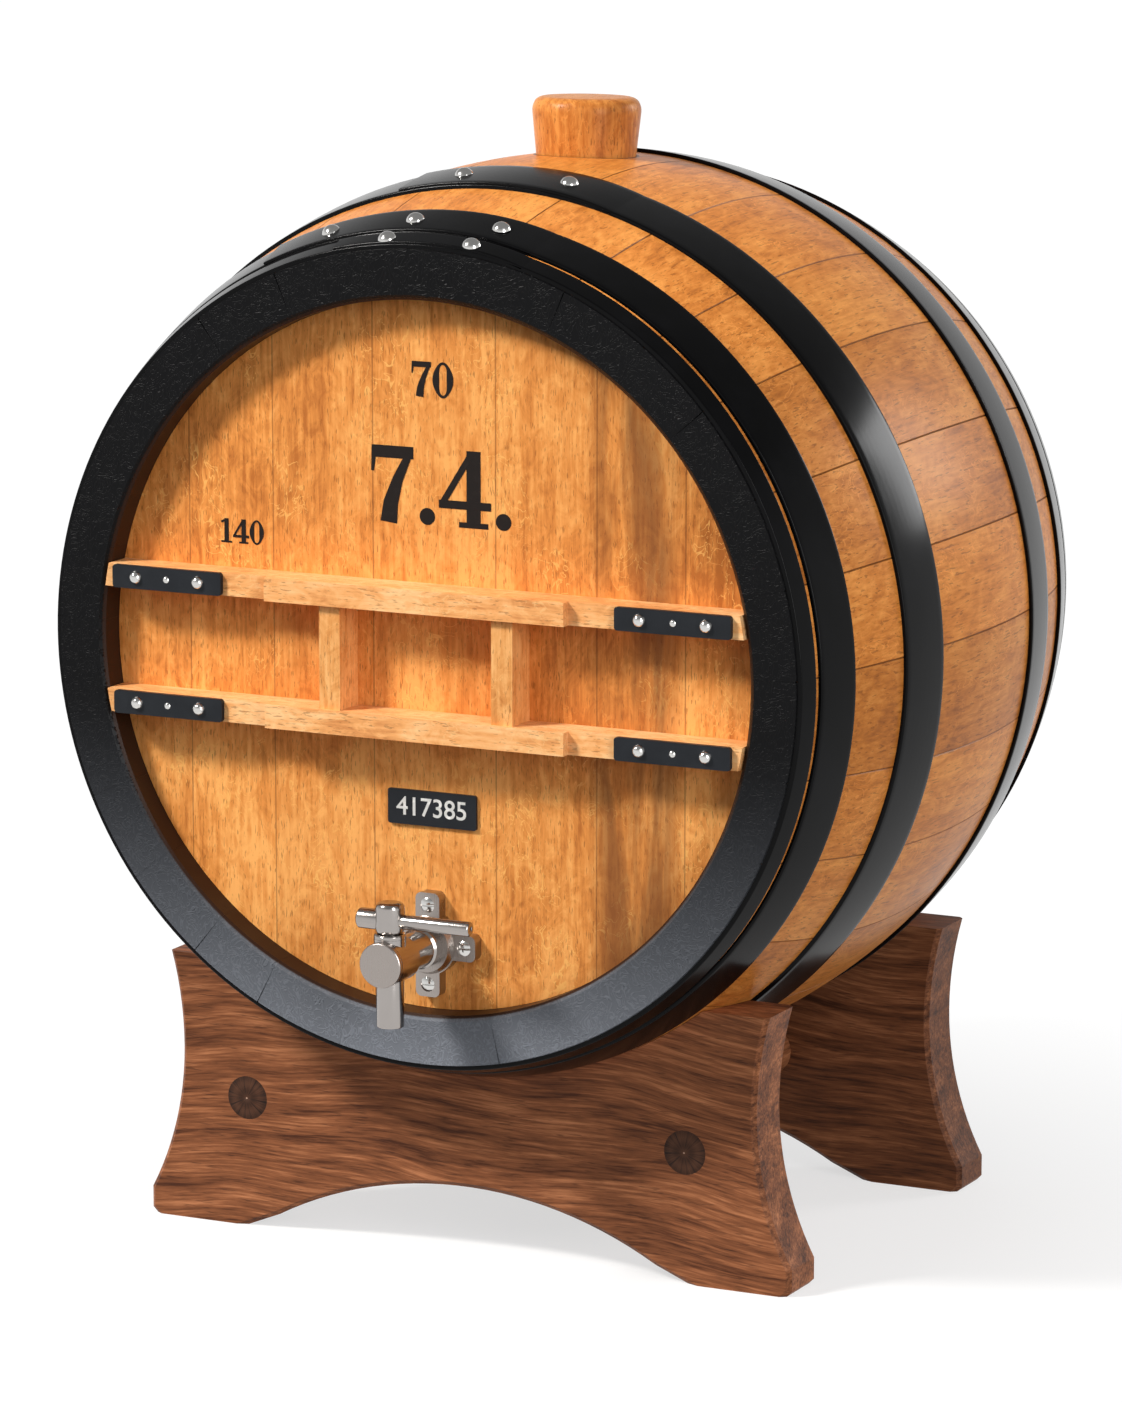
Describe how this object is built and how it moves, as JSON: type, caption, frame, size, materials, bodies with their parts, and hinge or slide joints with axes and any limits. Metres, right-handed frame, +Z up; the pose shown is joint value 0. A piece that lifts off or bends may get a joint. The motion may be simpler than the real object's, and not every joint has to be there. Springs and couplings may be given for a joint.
{
  "type": "oak cask liquor dispenser",
  "caption": "Oak cask lying on a wooden cradle, with a small shelf on its front head, a metal tap with a turning handle, and a lift-out bung.",
  "frame": {"origin": "centre of the object's box, on the floor under the cradle's feet", "axes": "+Z up; -Y is the front, where the tap is; +X is to the right as seen from the front"},
  "size_m": [0.441, 0.365, 0.544],
  "materials": {
    "oak": "satin varnish",
    "head_oak": "satin varnish",
    "hoop_iron": "gloss black",
    "bright_steel": "polished",
    "shelf_oak": "satin varnish",
    "slate_steel": "satin",
    "plate_brass": "satin",
    "tap_steel": "brushed",
    "seal_rubber": "matte",
    "bung_oak": "satin varnish",
    "walnut": "satin stain",
    "dark_walnut": "satin stain"
  },
  "bodies": {
    "cradle": {"front_cradle_board": "walnut", "rear_cradle_board": "walnut", "left_rail": "walnut", "right_rail": "walnut", "cover_plugs": "dark_walnut"},
    "cask": {"stave_01": "oak", "stave_02": "oak", "stave_03": "oak", "stave_04": "oak", "stave_05": "oak", "stave_06": "oak", "stave_07": "oak", "stave_08": "oak", "stave_09": "oak", "stave_10": "oak", "stave_11": "oak", "stave_12": "oak", "stave_13": "oak", "stave_14": "oak", "stave_15": "oak", "stave_16": "oak", "stave_17": "oak", "stave_18": "oak", "stave_19": "oak", "stave_20": "oak", "stave_21": "oak", "stave_22": "oak", "stave_23": "oak", "stave_24": "oak", "stave_25": "oak", "stave_26": "oak", "bung_stave": "oak", "front_head": "head_oak", "rear_head": "head_oak", "front_chime_hoop": "hoop_iron", "rear_chime_hoop": "hoop_iron", "front_quarter_hoop": "hoop_iron", "rear_quarter_hoop": "hoop_iron", "front_bilge_hoop": "hoop_iron", "rear_bilge_hoop": "hoop_iron", "hoop_rivets": "bright_steel", "upper_shelf_slat": "shelf_oak", "lower_shelf_slat": "shelf_oak", "left_divider": "shelf_oak", "right_divider": "shelf_oak", "shelf_plates": "slate_steel", "plate_nails": "bright_steel", "number_plate": "plate_brass", "tap_flange": "tap_steel", "flange_screws": "bright_steel", "tap_gasket": "seal_rubber", "tap_body": "tap_steel", "tap_end_cap": "tap_steel", "tap_spout": "tap_steel", "tap_bonnet": "tap_steel"},
    "tap_handle": {"tap_plug": "tap_steel", "handle_head": "tap_steel", "handle_rod": "tap_steel", "handle_nut": "tap_steel"},
    "bung": {"bung": "bung_oak"}
  },
  "joints": [
    {"name": "cask_lift", "type": "slide", "parent": "cradle", "child": "cask", "axis": [0, 0, 1], "range_m": [0, 0.25]},
    {"name": "tap_turn", "type": "hinge", "parent": "cask", "child": "tap_handle", "pos_m": [0, -0.1718, 0.1595], "axis": [0, 0, -1], "range_deg": [0, 90]},
    {"name": "bung_lift", "type": "slide", "parent": "cask", "child": "bung", "axis": [0, 0.0335, 0.9994], "range_m": [0, 0.08]}
  ]
}
